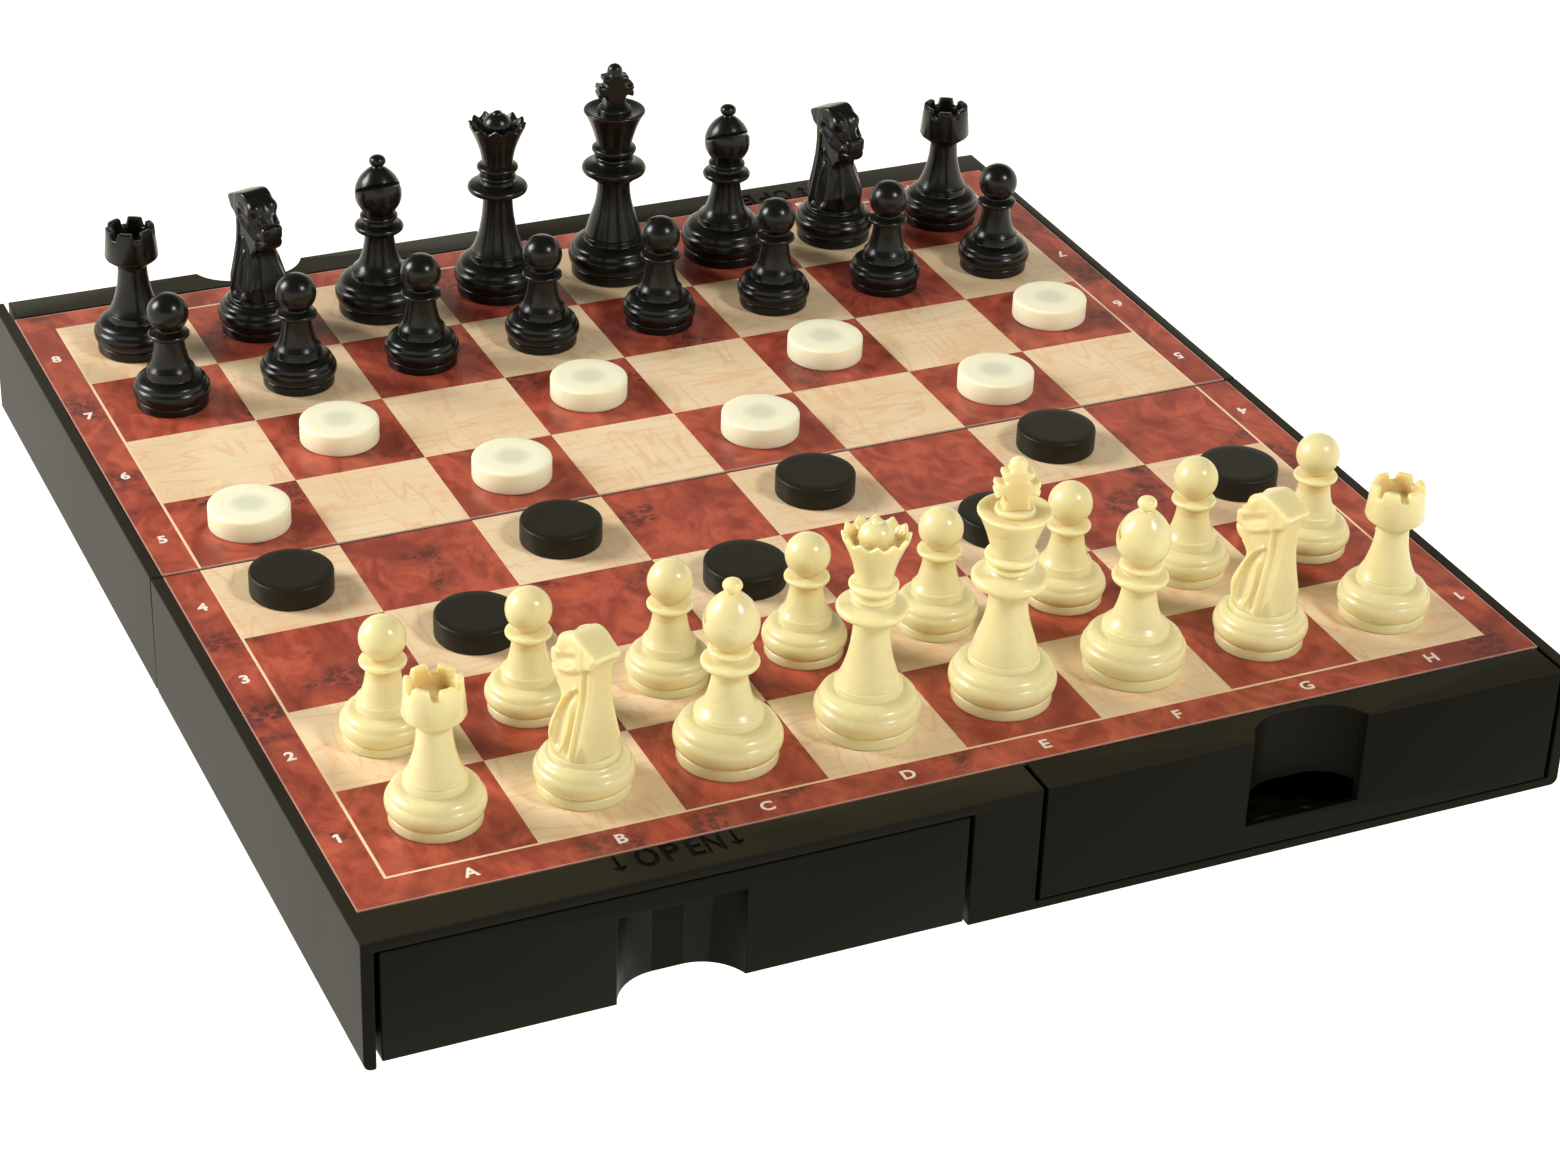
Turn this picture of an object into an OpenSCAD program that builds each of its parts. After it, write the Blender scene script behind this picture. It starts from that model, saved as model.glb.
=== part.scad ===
// A folding chess and draughts case. Two equal half cases meet at a crease
// across the board and fold back to back on two double-pin links. Each half
// holds two drawers that pull out of its end. The origin is the centre of the
// underside: X runs along the files, Y along the ranks, Z up.

/* [Board] */
// Side of one playing square
square_w = 35; // [32:0.5:42]
// Squares along each side of the board
square_count = 8; // [8:2:8]
// Printed border outside the squares
board_border = 9.8; // [8:0.2:14]
// Thickness of the printed sheet
sheet_t = 0.4; // [0.3:0.1:0.8]
// Thickness of the steel plate under the sheet
steel_t = 0.5; // [0.4:0.1:1]
// Play between the sheet and its recess
sheet_play = 0.2; // [0.1:0.05:0.4]
// Distance that the sheets stay back from the crease
sheet_setback = 0.4; // [0.2:0.1:1]

/* [Case] */
// Height of the case from its underside to the board
case_h = 33.5; // [32:0.5:45]
// Side walls, seen as the narrow rims beside the board
side_wall = 3; // [2.4:0.2:5]
// End rims in front of the board
end_rim = 11.4; // [11:0.2:16]
// Plate under the board
top_t = 2; // [1.4:0.2:3]
// Plate under the drawers
bottom_t = 2.4; // [1.8:0.2:3]
// Wall at the crease
crease_wall = 3; // [2:0.5:4]
// Pillar between the two drawers
pillar_w = 17.2; // [14:0.2:24]
// Rounding of the lower side edges
edge_r = 2; // [1:0.25:2.5]
// Gap between the two halves at the crease
crease_gap = 0.3; // [0.2:0.1:0.6]

/* [Hinge] */
// Distance of each pin from the crease face and from the underside
pin_inset = 4; // [3.6:0.2:5]
// Diameter of the steel pins
pin_d = 2.6; // [2:0.2:3]
// Play of a pin in the case
pin_play = 0.2; // [0.1:0.05:0.3]
// Width of a link
link_w = 12; // [8:1:18]
// Thickness of a link
link_t = 6.6; // [5.4:0.2:7]
// Play between a link and its pocket
link_play = 0.4; // [0.3:0.05:0.6]
// Wall of the boss beside and behind a link
boss_wall = 5; // [3:0.5:7]
// Distance of each link from the middle of the case
hinge_x = 100; // [60:5:120]

/* [Drawers] */
// Walls and floor of a drawer
drawer_wall = 1.6; // [1.2:0.1:2.4]
// Front wall of a drawer and its flange
front_t = 2; // [1.6:0.1:3]
// Gap at each end of a drawer front
front_gap = 1.2; // [0.8:0.1:1.8]
// Play under and over a drawer and at its guide ribs
drawer_play = 0.3; // [0.2:0.05:0.5]
// Height of a guide rib on the side of a drawer
rib_h = 3; // [2:0.5:5]
// Height above the underside of the fronts that reach past the bottom plate
skirt_z = 1.5; // [0.5:0.1:2]
// Space between the back of a drawer and the hinge bosses
drawer_back_gap = 1.5; // [1:0.5:6]
// Width of a finger scoop at the front
scoop_w = 31; // [29:0.5:40]
// Depth of a finger scoop behind the front
scoop_depth = 8.8; // [7:0.2:9]
// Radius of a finger scoop's rounded ends
scoop_r = 12.5; // [10:0.5:13]
// Depth of a lower scoop's closed top under the case's upper face
scoop_land = 8.7; // [7:0.1:12]
// Height of the lip in front of an upper scoop
lip_h = 9.2; // [8:0.1:11]
// Height at which an upper scoop's wall ends over the tray's floor
scoop_hem = 14.5; // [12:0.5:18]
// Height of the ridge on the floor under an upper scoop's wall
ridge_h = 1; // [0.6:0.2:1.6]

/* [Chessmen] */
// Height of a king
king_h = 63.7; // [58:0.1:70]
// Diameter of a king's base
king_d = 25.6; // [22:0.2:28]
// Height of a queen
queen_h = 54.6; // [50:0.1:60]
// Diameter of a queen's base
queen_d = 25; // [22:0.2:28]
// Height of a bishop
bishop_h = 46.5; // [42:0.1:52]
// Diameter of a bishop's base
bishop_d = 25.4; // [22:0.2:28]
// Height of a knight
knight_h = 41.2; // [38:0.1:46]
// Diameter of a knight's base
knight_d = 22.8; // [21:0.2:26]
// Height of a rook
rook_h = 37.8; // [35:0.1:43]
// Diameter of a rook's base
rook_d = 23.4; // [21:0.2:27]
// Height of a pawn
pawn_h = 32; // [29:0.1:36]
// Diameter of a pawn's base
pawn_d = 20.6; // [18:0.2:24]
// Angle by which the knights look away from the opponent
knight_turn = 15; // [0:5:45]

/* [Draughtsmen] */
// Diameter of a draughtsman
draught_d = 20.8; // [18:0.2:26]
// Thickness of a draughtsman
draught_t = 6; // [5:0.5:8]
// Rounding of a draughtsman's edges
draught_edge = 0.6; // [0.3:0.1:1]

/* [Magnets] */
// Diameter of the magnet in a man's base
magnet_d = 8; // [5:0.5:10]
// Thickness of a magnet
magnet_t = 2.4; // [1.6:0.2:3]
// Play round a magnet, and the depth that it sits in from the base
magnet_play = 0.2; // [0.1:0.05:0.3]
// Thickness of the glue over a magnet
glue_t = 0.05; // [0.03:0.01:0.1]

/* [Hidden] */
$fn = 64;
cut = 1;
board_w = square_count * square_w + 2 * board_border;
recess_w = board_w + 2 * sheet_play;
case_w = recess_w + 2 * side_wall;
half_len = recess_w / 2 + end_rim;
crease = crease_gap / 2;
recess_z = case_h - sheet_t - steel_t;
ceiling_z = recess_z - top_t;
bay_x0 = pillar_w / 2;
bay_x1 = case_w / 2 - side_wall;
bay_mid = (bay_x0 + bay_x1) / 2;

pin_y = crease + pin_inset;
link_r = link_t / 2;
pocket_r = link_r + link_play;
boss_len = pin_inset + pocket_r + boss_wall / 2;
boss_h = pin_inset + pocket_r + boss_wall / 2;
boss_w = link_w + 2 * link_play + 2 * boss_wall;
pin_len = link_w + 2 * link_play + 2 * boss_wall - 1;

drawer_w = bay_x1 - bay_x0 - 2 * front_gap;
drawer_len = half_len - crease - boss_len - drawer_back_gap;
tray_z0 = bottom_t + drawer_play;
tray_z1 = ceiling_z - drawer_play;
flange_len = end_rim - drawer_play * 2;
scoop_shell = flange_len - scoop_depth;
magnet_bore = magnet_play + magnet_t + glue_t;

files = "abcdefgh";
back_rank = ["rook", "knight", "bishop", "queen", "king", "bishop", "knight", "rook"];
ivory = [0.93, 0.90, 0.74];
black = [0.07, 0.07, 0.06];
case_black = [0.15, 0.145, 0.11];

// Each man is [name, kind, colour, file, rank], with files and ranks from 0.
chessmen = [
    for (side = [0, 1], row = [0, 1], file = [0:square_count - 1])
        let (kind = row == 0 ? back_rank[file] : "pawn",
             side_name = side == 0 ? "white" : "black")
        [str(side_name, "_", kind, "_", files[file]), kind, side,
         file, side == 0 ? row : square_count - 1 - row]
];
draughtsmen = [
    for (side = [0, 1], row = [0, 1], pair = [0:square_count / 2 - 1])
        let (file = 2 * pair + row,
             rank = side == 0 ? square_count / 2 + row : square_count / 2 - 1 - row,
             side_name = side == 0 ? "white" : "black")
        [str(side_name, "_draught_", files[file], rank + 1), "draught", side, file, rank]
];
men = concat(chessmen, draughtsmen);

// ---- half cases ----

// Section across the case, with its rounded long edges
module case_section() {
    translate([-case_w / 2, edge_r]) square([case_w, case_h - edge_r]);
    translate([-case_w / 2 + edge_r, 0]) square([case_w - 2 * edge_r, case_h]);
    for (side = [-1, 1])
        translate([side * (case_w / 2 - edge_r), edge_r]) circle(edge_r);
}

// A bar along X, centred on x = 0, with its lower near corner at [y, z]
module bar(width, y, z, len, height) {
    translate([-width / 2, y, z]) cube([width, len, height]);
}

module rod(diameter, len) {
    rotate([0, 90, 0]) cylinder(d = diameter, h = len, center = true);
}

// Space that a link needs in a half case, from lying flat to pointing down
module link_pocket() {
    width = link_w + 2 * link_play;
    translate([0, -pin_y, pin_inset]) rod(2 * pocket_r, width);
    bar(width, -pin_y, -cut, pin_y + cut, pin_inset + pocket_r + cut);
    bar(width, -pin_y - pocket_r, -cut, pin_y + cut, pin_inset + cut);
}

// The crease edge of the underside is round about the pins
module crease_round() {
    difference() {
        bar(case_w + cut, -pin_y, -cut, pin_y + cut, pin_inset + cut);
        translate([0, -pin_y, pin_inset]) rod(2 * pin_inset, case_w + 2 * cut);
    }
}

module case_half() {
    difference() {
        union() {
            difference() {
                translate([0, -crease, 0]) rotate([90, 0, 0])
                    linear_extrude(half_len - crease) case_section();
                for (side = [-1, 1])
                    translate([side * bay_mid, 0, 0])
                        bar(bay_x1 - bay_x0, -half_len - cut, bottom_t,
                            half_len - crease - crease_wall + cut, ceiling_z - bottom_t);
            }
            for (side = [-1, 1])
                translate([side * hinge_x, 0, 0])
                    bar(boss_w, -crease - boss_len, bottom_t / 2,
                        boss_len - crease_wall / 2, boss_h - bottom_t / 2);
        }
        bar(recess_w, -recess_w / 2, recess_z, recess_w / 2 + cut, case_h);
        // The left front reaches past the bottom plate, the right one past the top
        translate([-bay_mid, 0, 0])
            bar(bay_x1 - bay_x0, -half_len - cut, -cut, end_rim + cut, bottom_t + 2 * cut);
        translate([bay_mid, 0, 0])
            bar(bay_x1 - bay_x0, -half_len - cut, ceiling_z - cut, end_rim + cut,
                case_h - ceiling_z + 2 * cut);
        crease_round();
        for (side = [-1, 1])
            translate([side * hinge_x, 0, 0]) {
                link_pocket();
                translate([0, -pin_y, pin_inset]) rod(pin_d + pin_play, boss_w + cut);
            }
    }
}

module near_case() color(case_black) case_half();
module far_case() color(case_black) rotate([0, 0, 180]) case_half();

module half_sheet(bottom, thick) {
    bar(board_w, -board_w / 2, bottom, board_w / 2 - crease - sheet_setback, thick);
}

module near_steel_plate() color("silver") half_sheet(recess_z, steel_t);
module far_steel_plate() color("silver") rotate([0, 0, 180]) half_sheet(recess_z, steel_t);
module near_board_sheet() color([0.62, 0.25, 0.18]) half_sheet(case_h - sheet_t, sheet_t);
module far_board_sheet()
    color([0.62, 0.25, 0.18]) rotate([0, 0, 180]) half_sheet(case_h - sheet_t, sheet_t);

// ---- hinge ----

module hinge_link() {
    difference() {
        union() {
            for (side = [-1, 1])
                translate([0, side * pin_y, pin_inset]) rod(link_t, link_w);
            bar(link_w, -pin_y, pin_inset - link_r, 2 * pin_y, link_t);
        }
        for (side = [-1, 1])
            translate([0, side * pin_y, pin_inset]) rod(pin_d, link_w + cut);
    }
}

module hinge_links()
    color([0.12, 0.12, 0.1])
        for (side = [-1, 1]) translate([side * hinge_x, 0, 0]) hinge_link();

module hinge_pins()
    color("silver")
        for (side = [-1, 1], end = [-1, 1])
            translate([side * hinge_x, end * pin_y, pin_inset]) rod(pin_d, pin_len);

// ---- drawers ----

// Plan of a finger scoop, cut in from the front at y = 0 and grown by a wall
module scoop_plan(grow) {
    half_chord = sqrt(pow(scoop_r, 2) - pow(scoop_r - scoop_depth, 2));
    center_x = scoop_w / 2 - half_chord;
    intersection() {
        hull() for (side = [-1, 1])
            translate([side * center_x, scoop_depth - scoop_r]) circle(scoop_r + grow);
        translate([-scoop_w, -cut]) square([2 * scoop_w, 2 * scoop_r]);
    }
}

// Tray with its front at y = 0. An upper front has a flange that carries on the
// rim of the case; a lower front reaches down past the bottom plate. An upper
// scoop is open to the tray between its floor and the hem of the scoop's wall.
module drawer(upper) {
    inner_w = drawer_w - 2 * drawer_wall;
    strip_z0 = upper ? tray_z0 : skirt_z;
    strip_z1 = upper ? case_h : tray_z1;
    floor_z = tray_z0 + drawer_wall;
    wall_z0 = upper ? scoop_hem : strip_z0;
    wall_z1 = upper ? case_h : case_h - scoop_land + drawer_wall;
    scoop_z0 = upper ? lip_h : skirt_z - cut;
    scoop_z1 = upper ? case_h + cut : case_h - scoop_land;
    difference() {
        union() {
            difference() {
                union() {
                    bar(drawer_w, 0, tray_z0, drawer_len, tray_z1 - tray_z0);
                    bar(drawer_w, 0, strip_z0, flange_len, strip_z1 - strip_z0);
                    bar(drawer_w + 2 * (front_gap - drawer_play), end_rim + front_t,
                        (tray_z0 + tray_z1) / 2, drawer_len - end_rim - front_t, rib_h);
                }
                bar(inner_w, front_t, floor_z, drawer_len - front_t - drawer_wall,
                    tray_z1 - floor_z + (upper ? 0 : cut));
                if (upper) {
                    bar(inner_w, front_t, floor_z, flange_len, case_h - front_t - floor_z);
                    bar(inner_w, flange_len + drawer_play, floor_z,
                        drawer_len - flange_len - drawer_play - drawer_wall, case_h);
                } else
                    bar(inner_w, front_t, skirt_z + drawer_wall,
                        flange_len - front_t - drawer_wall, case_h);
            }
            intersection() {
                translate([0, 0, wall_z0])
                    linear_extrude(wall_z1 - wall_z0) scoop_plan(scoop_shell);
                bar(drawer_w, 0, strip_z0, drawer_len, strip_z1 - strip_z0);
            }
            if (upper)
                translate([0, 0, floor_z - ridge_h]) linear_extrude(2 * ridge_h)
                    intersection() {
                        difference() {
                            scoop_plan(scoop_shell);
                            scoop_plan(0);
                        }
                        translate([-scoop_w, front_t / 2]) square([2 * scoop_w, flange_len]);
                    }
        }
        translate([0, 0, scoop_z0]) linear_extrude(scoop_z1 - scoop_z0) scoop_plan(0);
    }
}

module place_drawer(side, upper) translate([side * bay_mid, -half_len, 0]) drawer(upper);
module near_left_drawer() color(case_black) place_drawer(-1, false);
module near_right_drawer() color(case_black) place_drawer(1, true);
module far_left_drawer() color(case_black) rotate([0, 0, 180]) place_drawer(1, true);
module far_right_drawer() color(case_black) rotate([0, 0, 180]) place_drawer(-1, false);

// ---- chessmen ----
// Radii are shares of the base's radius r, heights are shares of the height h.

// Disc with a round rim, in the outline of a turned man
module bead(radius, z, thick) {
    half = thick / 2;
    translate([0, z - half]) square([radius - half, thick]);
    translate([radius - half, z]) circle(half, $fn = 32);
}

// Foot, two swellings and the ring that the stem stands on
module base_outline(r) {
    square([0.93 * r, 0.24 * r]);
    bead(r, 0.43 * r, 0.4 * r);
    bead(0.92 * r, 0.68 * r, 0.28 * r);
    translate([0, 0.7 * r]) square([0.64 * r, 0.3 * r]);
}

// Stem that flares down to the base: r0 at z0 below, r1 at z1 above
module stem_outline(r0, z0, r1, z1) {
    steps = 7;
    polygon(concat(
        [[0, z0]],
        [for (i = [0:steps])
            let (t = i / steps) [r1 + (r0 - r1) * pow(1 - t, 2), z0 + (z1 - z0) * t]],
        [[0, z1]]
    ));
}

// What children draw beside the axis, turned about Z
module turned() {
    rotate_extrude() intersection() {
        translate([0, -cut]) square([king_h, king_h + 2 * cut]);
        children();
    }
}

module king(r, h, turn) {
    turned() {
        base_outline(r);
        stem_outline(0.62 * r, 0.98 * r, 0.37 * r, 0.45 * h);
        bead(0.71 * r, 0.508 * h, 0.27 * r);
        translate([0, 0.44 * h]) square([0.45 * r, 0.15 * h]);
        bead(0.5 * r, 0.603 * h, 0.16 * r);
        polygon([[0, 0.6 * h], [0.42 * r, 0.62 * h], [0.47 * r, 0.68 * h],
                 [0.65 * r, 0.77 * h], [0.68 * r, 0.785 * h], [0.36 * r, 0.79 * h],
                 [0.33 * r, 0.81 * h], [0, 0.81 * h]]);
    }
    ball_r = 0.033 * h;
    arm = 0.045 * h;
    rotate(turn) {
        translate([-0.28 * r, -0.16 * r, 0.8 * h]) cube([0.56 * r, 0.32 * r, 0.15 * h]);
        translate([-0.43 * r, -0.16 * r, 0.87 * h - arm / 2]) cube([0.86 * r, 0.32 * r, arm]);
        translate([0, 0, h - ball_r]) sphere(ball_r);
    }
}

module queen(r, h) {
    notches = 9;
    notch_r = 0.115 * r;
    difference() {
        turned() {
            base_outline(r);
            stem_outline(0.61 * r, 0.98 * r, 0.34 * r, 0.53 * h);
            bead(0.67 * r, 0.585 * h, 0.25 * r);
            translate([0, 0.51 * h]) square([0.4 * r, 0.18 * h]);
            bead(0.46 * r, 0.695 * h, 0.15 * r);
            polygon([[0, 0.68 * h], [0.35 * r, 0.7 * h], [0.4 * r, 0.77 * h],
                     [0.5 * r, 0.85 * h], [0.64 * r, 0.93 * h], [0.51 * r, 0.93 * h],
                     [0.4 * r, 0.89 * h], [0, 0.89 * h]]);
        }
        for (i = [0:notches - 1])
            rotate(i * 360 / notches) translate([0, 0, 0.93 * h]) rotate([0, 90, 0])
                cylinder(r = notch_r, h = r);
    }
    dome_r = 0.3 * r;
    ball_r = 0.028 * h;
    translate([0, 0, 0.945 * h - dome_r]) sphere(dome_r);
    translate([0, 0, h - ball_r]) sphere(ball_r);
}

module bishop(r, h) {
    slot_tilt = 32;
    difference() {
        turned() {
            base_outline(r);
            stem_outline(0.6 * r, 0.98 * r, 0.32 * r, 0.5 * h);
            bead(0.53 * r, 0.543 * h, 0.17 * r);
            bead(0.39 * r, 0.6 * h, 0.12 * r);
            polygon([[0, 0.5 * h], [0.33 * r, 0.5 * h], [0.32 * r, 0.63 * h], [0.36 * r, 0.65 * h],
                     [0.47 * r, 0.7 * h], [0.505 * r, 0.76 * h], [0.47 * r, 0.82 * h],
                     [0.34 * r, 0.88 * h], [0.12 * r, 0.93 * h], [0, 0.93 * h]]);
            bead(0.18 * r, 0.965 * h, 0.07 * h);
        }
        translate([0, 0, 0.78 * h]) rotate([-slot_tilt, 0, 0])
            bar(2 * r, -r, -0.04 * r, r, 0.08 * r);
    }
}

// The head's outline seen from the side: the muzzle points along +X.
knight_side = [
    [-0.6, 0.26], [-0.55, 0.44], [-0.54, 0.62], [-0.57, 0.76], [-0.66, 0.86], [-0.84, 0.9],
    [-0.84, 0.94], [-0.44, 0.98], [-0.1, 1], [0.16, 0.98], [0.4, 0.91], [0.56, 0.84],
    [0.76, 0.8], [0.84, 0.78], [0.84, 0.66], [0.76, 0.64], [0.47, 0.64], [0.35, 0.6],
    [0.42, 0.52], [0.6, 0.43], [0.65, 0.33], [0.63, 0.26]
];
// Half width of the head at a height
knight_front = [[0.58, 0.26], [0.54, 0.36], [0.42, 0.5], [0.36, 0.62], [0.34, 0.9], [0.28, 1]];

module knight(r, h, turn) {
    turned() {
        base_outline(r);
    }
    rotate(turn) intersection() {
        rotate([90, 0, 0]) linear_extrude(2 * r, center = true)
            polygon([for (p = knight_side) [p[0] * r, p[1] * h]]);
        rotate([90, 0, 90]) linear_extrude(2 * r, center = true)
            polygon(concat(
                [for (p = knight_front) [p[0] * r, p[1] * h]],
                [for (i = [len(knight_front) - 1:-1:0])
                    [-knight_front[i][0] * r, knight_front[i][1] * h]]
            ));
    }
}

module rook(r, h) {
    merlons = 6;
    gap_w = 0.27 * r;
    difference() {
        turned() {
            base_outline(r);
            stem_outline(0.6 * r, 0.98 * r, 0.35 * r, 0.62 * h);
            polygon([[0, 0.6 * h], [0.35 * r, 0.62 * h], [0.63 * r, 0.69 * h],
                     [0.64 * r, h], [0.42 * r, h], [0.42 * r, 0.87 * h], [0, 0.87 * h]]);
        }
        for (i = [0:merlons / 2 - 1])
            rotate(i * 360 / merlons) bar(2 * r, -gap_w / 2, 0.9 * h, gap_w, h);
    }
}

module pawn(r, h) {
    ball_r = 0.54 * r;
    turned() {
        base_outline(r);
        stem_outline(0.58 * r, 0.98 * r, 0.37 * r, 0.62 * h);
        translate([0, 0.6 * h]) square([0.37 * r, 0.1 * h]);
        bead(0.55 * r, 0.645 * h, 0.13 * r);
    }
    translate([0, 0, h - ball_r]) sphere(ball_r);
}

module draught() {
    translate([0, 0, draught_edge]) cylinder(d = draught_d, h = draught_t - 2 * draught_edge);
    cylinder(d = draught_d - 2 * draught_edge, h = draught_t);
    for (z = [draught_edge, draught_t - draught_edge])
        translate([0, 0, z]) rotate_extrude()
            translate([draught_d / 2 - draught_edge, 0]) circle(draught_edge, $fn = 24);
}

// One man's solid; black men look towards -Y and white men towards +Y
module man_solid(kind, side) {
    facing = side == 0 ? 180 : 0;
    if (kind == "king") king(king_d / 2, king_h, side == 0 ? 50 : 0);
    if (kind == "queen") queen(queen_d / 2, queen_h);
    if (kind == "bishop") rotate(facing) bishop(bishop_d / 2, bishop_h);
    if (kind == "knight") knight(knight_d / 2, knight_h, facing - 90 + knight_turn);
    if (kind == "rook") rook(rook_d / 2, rook_h);
    if (kind == "pawn") pawn(pawn_d / 2, pawn_h);
    if (kind == "draught") draught();
}

// A man with the magnet in its base, standing on its square
module man(entry) {
    half_board = (square_count - 1) / 2;
    translate([(entry[3] - half_board) * square_w, (entry[4] - half_board) * square_w, case_h]) {
        color(entry[2] == 0 ? ivory : black) difference() {
            man_solid(entry[1], entry[2]);
            translate([0, 0, -cut])
                cylinder(d = magnet_d + magnet_play, h = magnet_bore + cut, $fn = 48);
        }
        color("gray") translate([0, 0, magnet_play])
            cylinder(d = magnet_d, h = magnet_t, $fn = 48);
    }
}

near_case();
far_case();
near_steel_plate();
far_steel_plate();
near_board_sheet();
far_board_sheet();
near_left_drawer();
near_right_drawer();
far_left_drawer();
far_right_drawer();
hinge_links();
hinge_pins();
for (entry = men) man(entry);
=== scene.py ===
import math

import bmesh
import bpy
import numpy as np
from mathutils import Matrix, Vector


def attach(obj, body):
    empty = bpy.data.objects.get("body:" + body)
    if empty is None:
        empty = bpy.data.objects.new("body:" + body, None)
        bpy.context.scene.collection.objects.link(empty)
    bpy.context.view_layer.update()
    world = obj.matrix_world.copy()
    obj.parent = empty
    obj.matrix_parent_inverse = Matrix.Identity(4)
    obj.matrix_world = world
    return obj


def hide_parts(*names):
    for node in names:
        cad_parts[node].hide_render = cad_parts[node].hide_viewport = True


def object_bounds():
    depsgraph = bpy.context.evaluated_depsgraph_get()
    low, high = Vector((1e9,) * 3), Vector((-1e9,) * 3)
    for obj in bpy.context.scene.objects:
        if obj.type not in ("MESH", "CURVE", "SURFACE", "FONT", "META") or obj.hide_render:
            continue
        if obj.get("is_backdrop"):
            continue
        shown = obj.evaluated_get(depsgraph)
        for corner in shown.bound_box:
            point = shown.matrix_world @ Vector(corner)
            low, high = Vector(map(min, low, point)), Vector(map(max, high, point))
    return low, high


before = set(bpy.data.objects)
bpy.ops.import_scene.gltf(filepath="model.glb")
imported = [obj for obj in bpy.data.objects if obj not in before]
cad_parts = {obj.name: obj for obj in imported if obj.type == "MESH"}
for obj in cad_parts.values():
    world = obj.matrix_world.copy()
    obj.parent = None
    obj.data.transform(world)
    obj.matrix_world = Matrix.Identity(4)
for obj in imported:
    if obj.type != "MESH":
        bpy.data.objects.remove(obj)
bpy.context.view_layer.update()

# ---- Studio: camera, floor and lights ----
# The photograph was taken from the white side's left, looking down at 30
# degrees, on a white sweep with a softbox on each side. The sweep hangs so low
# that the half which folds under the other stays in sight.
scene = bpy.context.scene
scene.view_settings.view_transform = "Standard"
paper_tint = (1, 0.96, 0.82, 1)


def add_object(name, data):
    made = bpy.data.objects.new(name, data)
    scene.collection.objects.link(made)
    return made


# place and direction were solved from the corners of the chequered board
camera = add_object("camera", bpy.data.cameras.new("camera"))
camera.data.lens = 82.6
camera.data.clip_start = 0.05
camera.matrix_world = Matrix.Translation((-0.33409, -0.74376, 0.48105)) @ Matrix((
    (0.91214, -0.40849, 0.03365),
    (0.18132, 0.47579, 0.86067),
    (-0.36759, -0.77895, 0.50805))).transposed().to_4x4()
scene.camera = camera

world = bpy.data.worlds.new("sweep")
scene.world = world
world.use_nodes = True
sky = world.node_tree
# the surroundings are white low down, like the sweep, and dark overhead
direction = sky.nodes.new("ShaderNodeTexCoord")
height = sky.nodes.new("ShaderNodeSeparateXYZ")
brightness = sky.nodes.new("ShaderNodeMapRange")
brightness.interpolation_type = "SMOOTHSTEP"
for name, value in (("From Min", 0.2), ("From Max", 0.5), ("To Min", 1.25), ("To Max", 0.12)):
    brightness.inputs[name].default_value = value
sky.links.new(direction.outputs["Generated"], height.inputs[0])
sky.links.new(height.outputs["Z"], brightness.inputs["Value"])
sky.links.new(brightness.outputs["Result"], sky.nodes["Background"].inputs["Strength"])
sky.nodes["Background"].inputs["Color"].default_value = paper_tint


def softbox(name, toward, distance, size, power):
    """Square area light that hangs in a direction from the board's middle and looks back at it."""
    light = add_object(name, bpy.data.lights.new(name, "AREA"))
    light.data.size = size
    light.data.energy = power
    away = Vector(toward).normalized()
    middle = Vector((0, 0, 0.05))
    light.location = middle + away * distance
    light.rotation_euler = away.to_track_quat("Z", "Y").to_euler()


softbox("left_softbox", (-0.776, 0.405, 0.482), 1.5, 0.6, 26)
softbox("right_softbox", (0.402, -0.613, 0.680), 1.6, 0.26, 12.5)

reach, floor_z = 6, -0.22
floor = add_object("floor", bpy.data.meshes.new("floor"))
floor.data.from_pydata([(-reach, -reach, floor_z), (reach, -reach, floor_z), (reach, reach, floor_z),
                        (-reach, reach, floor_z)], [], [(0, 1, 2, 3)])
paper = bpy.data.materials.new("white_paper")
paper.use_nodes = True
for name, value in (("Base Color", (0.25, 0.25, 0.25, 1)), ("Roughness", 0.9), ("Specular IOR Level", 0.0),
                    ("Emission Color", paper_tint), ("Emission Strength", 1.1)):
    paper.node_tree.nodes["Principled BSDF"].inputs[name].default_value = value
floor.data.materials.append(paper)
floor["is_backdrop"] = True

# ---- Half cases ----
# Each half is one moulding in black ABS with a faint spark-eroded texture.
# Both are the same part, the far one turned half round. Small arrows and the
# word OPEN are sunk into the end rim over the drawer that opens from below.


class Wire:
    """An output in a material's node tree. Sums and comparisons of wires add Math nodes."""

    def __init__(self, tree, socket):
        self.tree, self.socket = tree, socket

    def add(self, kind, settings=None, inputs=None, output=0):
        node = self.tree.nodes.new("ShaderNode" + kind)
        for key, value in (settings or {}).items():
            setattr(node, key, value)
        for key, value in (inputs or {}).items():
            if isinstance(value, Wire):
                self.tree.links.new(value.socket, node.inputs[key])
            else:
                node.inputs[key].default_value = value
        return Wire(self.tree, node.outputs[output])

    def math(self, operation, *values):
        return self.add("Math", {"operation": operation}, dict(enumerate(values)))

    def axis(self, letter):
        return self.add("SeparateXYZ", {}, {"Vector": self}, letter)

    def __add__(self, other):
        return self.math("ADD", self, other)

    __radd__ = __add__

    def __sub__(self, other):
        return self.math("SUBTRACT", self, other)

    def __rsub__(self, other):
        return self.math("SUBTRACT", other, self)

    def __mul__(self, other):
        return self.math("MULTIPLY", self, other)

    __rmul__ = __mul__

    def __truediv__(self, other):
        return self.math("DIVIDE", self, other)

    def __mod__(self, other):
        return self.math("FLOORED_MODULO", self, other)

    def __lt__(self, other):
        return self.math("LESS_THAN", self, other)

    def __gt__(self, other):
        return self.math("GREATER_THAN", self, other)

    def __abs__(self):
        return self.math("ABSOLUTE", self)


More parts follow.
